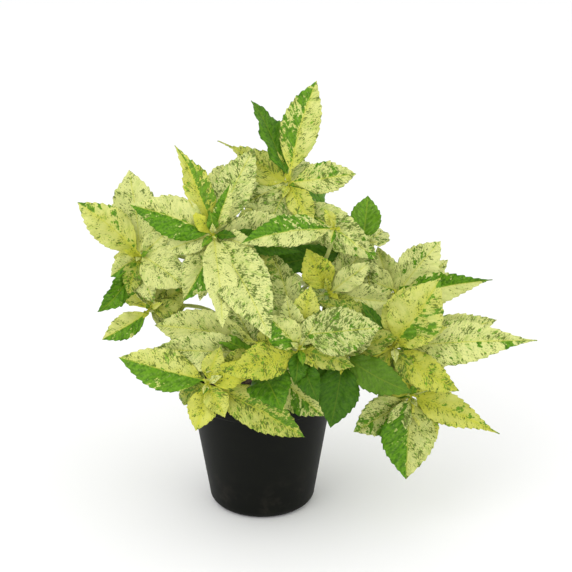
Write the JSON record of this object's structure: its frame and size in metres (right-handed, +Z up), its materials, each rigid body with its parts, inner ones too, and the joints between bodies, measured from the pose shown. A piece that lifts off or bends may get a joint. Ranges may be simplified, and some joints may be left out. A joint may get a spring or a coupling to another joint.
{
  "type": "potted pellionia",
  "caption": "Bushy variegated pellionia with pointed, toothed, cream and green speckled leaves, growing from soil in a plain round black tapered nursery pot.",
  "frame": {"origin": "centre of the pot's flat underside, on the surface it stands on", "axes": "+Z up along the pot's axis; -Y towards the plant's fuller side, +X towards its widest spread"},
  "size_m": [0.3185, 0.2012, 0.3082],
  "materials": {
    "pot": "plain near-black moulded plastic, satin matt",
    "soil": null,
    "stem": null,
    "leaf": null
  },
  "bodies": {
    "root": {"pot": "pot", "soil": "soil", "stem_top": "stem", "stem_left": "stem", "stem_front": "stem", "stem_right": "stem", "stem_rear": "stem", "leaf_top_up": "leaf", "leaf_top_blade": "leaf", "leaf_top_right": "leaf", "leaf_top_tail": "leaf", "leaf_top_down": "leaf", "leaf_top_shawl": "leaf", "leaf_shoulder_left": "leaf", "leaf_green_up": "leaf", "leaf_heart_up_left": "leaf", "leaf_heart_left": "leaf", "leaf_heart_down_left": "leaf", "leaf_heart_down": "leaf", "leaf_heart_up": "leaf", "leaf_heart_up_right": "leaf", "leaf_heart_right": "leaf", "leaf_left_out": "leaf", "leaf_left_up": "leaf", "leaf_left_in": "leaf", "leaf_left_hang": "leaf", "leaf_low_left_out": "leaf", "leaf_low_left_in": "leaf", "leaf_sill_back": "leaf", "leaf_sill_left": "leaf", "leaf_sill_round": "leaf", "leaf_sill_low": "leaf", "leaf_brim_left": "leaf", "leaf_brim_hang": "leaf", "leaf_brim_right": "leaf", "leaf_front_broad": "leaf", "leaf_front_up": "leaf", "leaf_front_gold": "leaf", "leaf_front_dark": "leaf", "leaf_front_tall": "leaf", "leaf_step_deep": "leaf", "leaf_step_olive": "leaf", "leaf_middle_gold": "leaf", "leaf_middle_right": "leaf", "leaf_right_up": "leaf", "leaf_right_out": "leaf", "leaf_right_in": "leaf", "leaf_far_up": "leaf", "leaf_far_out": "leaf", "leaf_far_behind": "leaf", "leaf_far_low": "leaf", "leaf_low_right_out": "leaf", "leaf_low_right_down": "leaf", "leaf_low_right_in": "leaf", "leaf_rear_top_up": "leaf", "leaf_rear_top_down": "leaf", "leaf_rear_left_out": "leaf", "leaf_rear_left_down": "leaf", "leaf_rear_right_out": "leaf", "leaf_rear_right_down": "leaf"}
  },
  "joints": []
}
